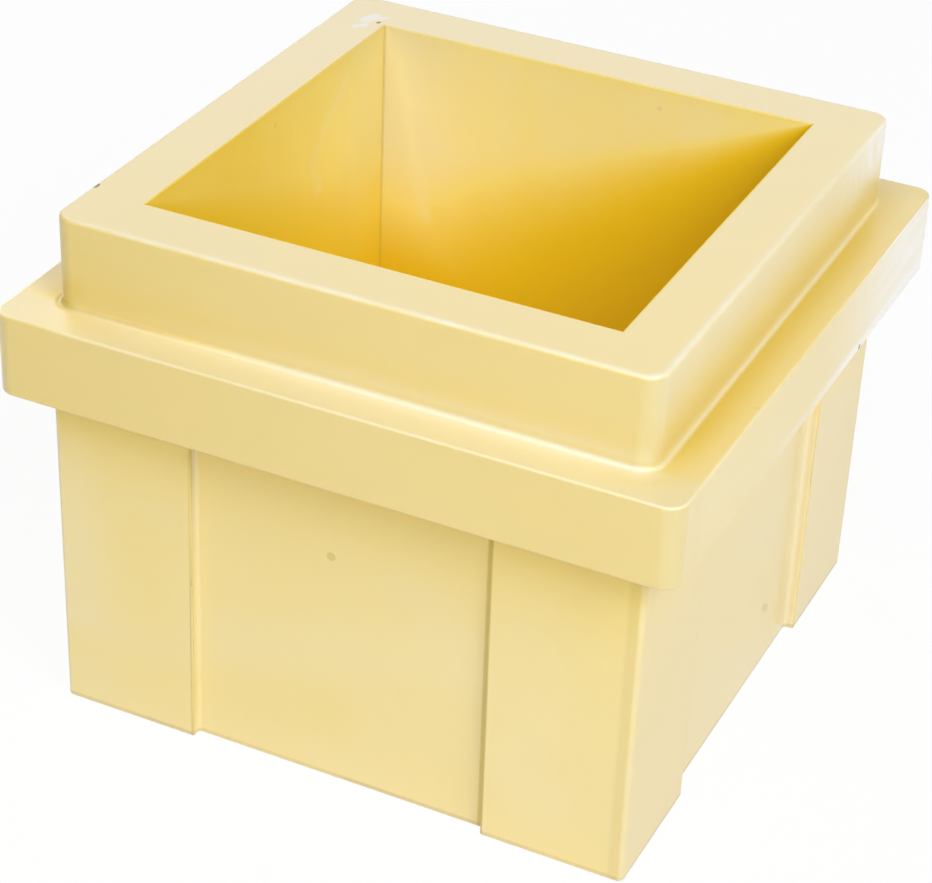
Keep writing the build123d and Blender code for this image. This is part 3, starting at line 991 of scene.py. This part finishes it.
class CUBEMOULD_OT_plug(bpy.types.Operator):
    """Give the plug its natural white plastic, turned on a lathe and hazed by cement"""

    bl_idname = "cube_mould.plug"
    bl_label = "Finish Plug"

    SHADED = (0.66, 0.64, 0.57)
    CEMENT = (0.52, 0.51, 0.48)

    # Lathe rings, and the noises of the plastic: scale, detail and roughness as far as they are given,
    # and from where to where they count
    RING_PITCH = 0.9 * MM
    RING_FADING = 40.0
    RING_FADED = (0.3, 0.7)
    CLOUD = (55.0, 3.0)
    CLOUDED = (0.35, 0.7)
    UNEVEN = (120.0, 4.0 * MM)
    SPECKS = (170.0, 4.0, 0.65)
    SPECKED = (0.5, 0.68)
    GRAIN = (1500.0, 2.0)

    # Cement haze, thickest round the edge of the head, and how strong the shade and the haze are
    HEAD_EDGE = (PLUG_HALF - 2.2 * MM, PLUG_HALF - 0.4 * MM)
    HEAD_EDGE_HAZE = (0.15, 0.55)
    HAZE = 0.35
    CLOUD_SHADE = 0.5
    HAZE_ROUGHER = 0.3
    RINGS_ROUGHER = 0.03
    RING_HEIGHT = 0.006 * MM
    GRAIN_HEIGHT = 0.004 * MM
    HAZE_HEIGHT = 0.02 * MM

    def execute(self, context):
        look = context.scene.cube_mould_finish
        finish = finish_of("natural_white_plastic")
        place = finish.place()
        x, y = finish.axes(place)[:2]
        radius = finish.measure("LENGTH", finish.vector(x, y, 0.0))
        rings = (radius * (math.tau / self.RING_PITCH)).math("SINE")
        rings = rings * finish.noise(place, self.RING_FADING).step(*self.RING_FADED)
        cloud = finish.noise(place, *self.CLOUD).step(*self.CLOUDED)
        uneven = finish.wavering(place, *self.UNEVEN)
        specks = finish.noise(uneven, *self.SPECKS).step(*self.SPECKED)
        haze = specks * self.HAZE + radius.step(*self.HEAD_EDGE) * specks.between(*self.HEAD_EDGE_HAZE)

        colour = finish.blend(cloud * self.CLOUD_SHADE, look.plug_white, self.SHADED)
        colour = finish.blend(haze, colour, self.CEMENT)
        grain = finish.noise(place, *self.GRAIN)
        relief = rings * self.RING_HEIGHT + grain * self.GRAIN_HEIGHT + haze * self.HAZE_HEIGHT
        finish.plastic(
            base_color=colour,
            roughness=haze * self.HAZE_ROUGHER + rings * self.RINGS_ROUGHER + look.plug_roughness,
            normal=finish.bump(relief),
        )
        paint("ejection_plug", finish)
        return {"FINISHED"}


class CUBEMOULD_OT_studio(bpy.types.Operator):
    """Set up the pale floor, the soft lamps and the camera"""

    bl_idname = "cube_mould.studio"
    bl_label = "Set Up Studio"

    WHITE = (1.0, 1.0, 1.0)
    FLOOR_PAINT = (0.9, 0.9, 0.9)
    FLOOR_HALF = 6.0
    FLOOR_CORNERS = ((-1, -1), (1, -1), (1, 1), (-1, 1))
    FLOOR_GAP = 0.05 * MM
    LAMP_DISTANCE = 1.6
    LAMP_DIAMETER = 0.8
    SEEN_RAYS = ("Is Camera Ray", "Is Glossy Ray", "Is Transmission Ray")

    # Each softbox: degrees round to the right of the front, degrees up, and watts
    LAMPS = {
        "key_softbox": (60, 42, 15.1),
        "left_back_softbox": (-120, 25, 7.6),
        "front_softbox": (0, 42, 6.0),
        "low_softbox": (30, 25, 5.1),
        "high_softbox": (-30, 62, 3.6),
        "right_back_softbox": (120, 42, 3.1),
        "low_back_softbox": (-150, 10, 1.7),
    }

    def execute(self, context):
        studio = context.scene.cube_mould_studio
        self.floor(context.scene, studio)
        self.lamps(context.scene)
        self.world(context.scene)
        self.camera(context.scene, studio)
        context.scene.view_settings.view_transform = "Standard"
        return {"FINISHED"}

    def seen(self, finish):
        """1 on rays that show the background itself, 0 on rays that carry its light."""
        path = finish.node("ShaderNodeLightPath").outputs
        return strongest([Value(finish, path[name]) for name in self.SEEN_RAYS])

    def floor(self, scene, studio):
        """A wide floor just under the mould, lifted to white where it is seen, with a faint shadow left."""
        mesh = bpy.data.meshes.new("studio_floor")
        half = self.FLOOR_HALF
        corners = [(x * half, y * half, -self.FLOOR_GAP) for x, y in self.FLOOR_CORNERS]
        mesh.from_pydata(corners, [], [range(len(corners))])
        floor = bpy.data.objects.new("studio_floor", mesh)
        scene.collection.objects.link(floor)
        finish = finish_of("white_floor")
        lit = finish.node("ShaderNodeBsdfDiffuse", None, {"Color": self.FLOOR_PAINT}).outputs["BSDF"]
        white = finish.node("ShaderNodeEmission", None, {"Color": self.WHITE, "Strength": 1.0})
        sockets = {0: self.seen(finish) * studio.floor_white, 1: lit, 2: white.outputs["Emission"]}
        mixed = finish.node("ShaderNodeMixShader", None, sockets)
        finish.node("ShaderNodeOutputMaterial", None, {"Surface": mixed.outputs["Shader"]})
        mesh.materials.append(finish.owner)

    def lamps(self, scene):
        """Round softboxes at one distance from the middle of the mould."""
        centre = (cad_box[0] + cad_box[1]) / 2
        for name, (around, above, power) in self.LAMPS.items():
            lamp = bpy.data.lights.new(name, "AREA")
            lamp.shape = "DISK"
            lamp.size = self.LAMP_DIAMETER
            lamp.energy = power
            holder = bpy.data.objects.new(name, lamp)
            way = direction(math.radians(around), math.radians(above))
            holder.location = centre + way * self.LAMP_DISTANCE
            holder.rotation_euler = way.to_track_quat("Z", "Y").to_euler()
            scene.collection.objects.link(holder)

    def world(self, scene):
        """A world that is white where it is seen or reflected, and gives no other light."""
        world = bpy.data.worlds.new("studio")
        scene.world = world
        finish = Finish(world)
        sockets = {"Color": self.WHITE, "Strength": self.seen(finish)}
        background = finish.node("ShaderNodeBackground", None, sockets)
        finish.node("ShaderNodeOutputWorld", None, {"Surface": background.outputs["Background"]})

    def camera(self, scene, studio):
        """The camera at the photograph's viewing angle."""
        around, above, lean = studio.azimuth, studio.elevation, studio.roll
        back = direction(around, above)
        level = Vector((math.cos(around), math.sin(around), 0.0))
        upright = back.cross(level)
        right = level * math.cos(lean) + upright * math.sin(lean)
        up = upright * math.cos(lean) - level * math.sin(lean)
        data = bpy.data.cameras.new("photo_camera")
        data.lens = studio.focal_pixels / PHOTO_WIDTH * data.sensor_width
        camera = bpy.data.objects.new("photo_camera", data)
        spot = Vector(studio.aim) + back * studio.distance
        camera.matrix_world = Matrix.Translation(spot) @ Matrix((right, up, back)).transposed().to_4x4()
        scene.collection.objects.link(camera)
        scene.camera = camera


class CUBEMOULD_PT_panel(bpy.types.Panel):
    """Sidebar panel that lists the mould's finishes and its studio"""

    bl_idname = "CUBEMOULD_PT_panel"
    bl_label = "Concrete Cube Mould"
    bl_space_type = "VIEW_3D"
    bl_region_type = "UI"
    bl_category = "Cube Mould"

    def draw(self, context):
        layout = self.layout
        for group in (context.scene.cube_mould_finish, context.scene.cube_mould_studio):
            box = layout.box()
            for name in group.bl_rna.properties.keys():
                if name not in ("rna_type", "name"):
                    box.prop(group, name)
        for operator in STEPS:
            layout.operator(operator.bl_idname)


STEPS = (CUBEMOULD_OT_body, CUBEMOULD_OT_plug, CUBEMOULD_OT_studio)
CLASSES = (CubeMouldFinish, CubeMouldStudio, *STEPS, CUBEMOULD_PT_panel)


def register():
    for cls in CLASSES:
        bpy.utils.register_class(cls)
    bpy.types.Scene.cube_mould_finish = bpy.props.PointerProperty(type=CubeMouldFinish)
    bpy.types.Scene.cube_mould_studio = bpy.props.PointerProperty(type=CubeMouldStudio)


def unregister():
    del bpy.types.Scene.cube_mould_studio
    del bpy.types.Scene.cube_mould_finish
    for cls in reversed(CLASSES):
        bpy.utils.unregister_class(cls)


def main():
    register()
    bpy.ops.cube_mould.body()
    bpy.ops.cube_mould.plug()
    bpy.ops.cube_mould.studio()


if __name__ == "__main__":
    main()
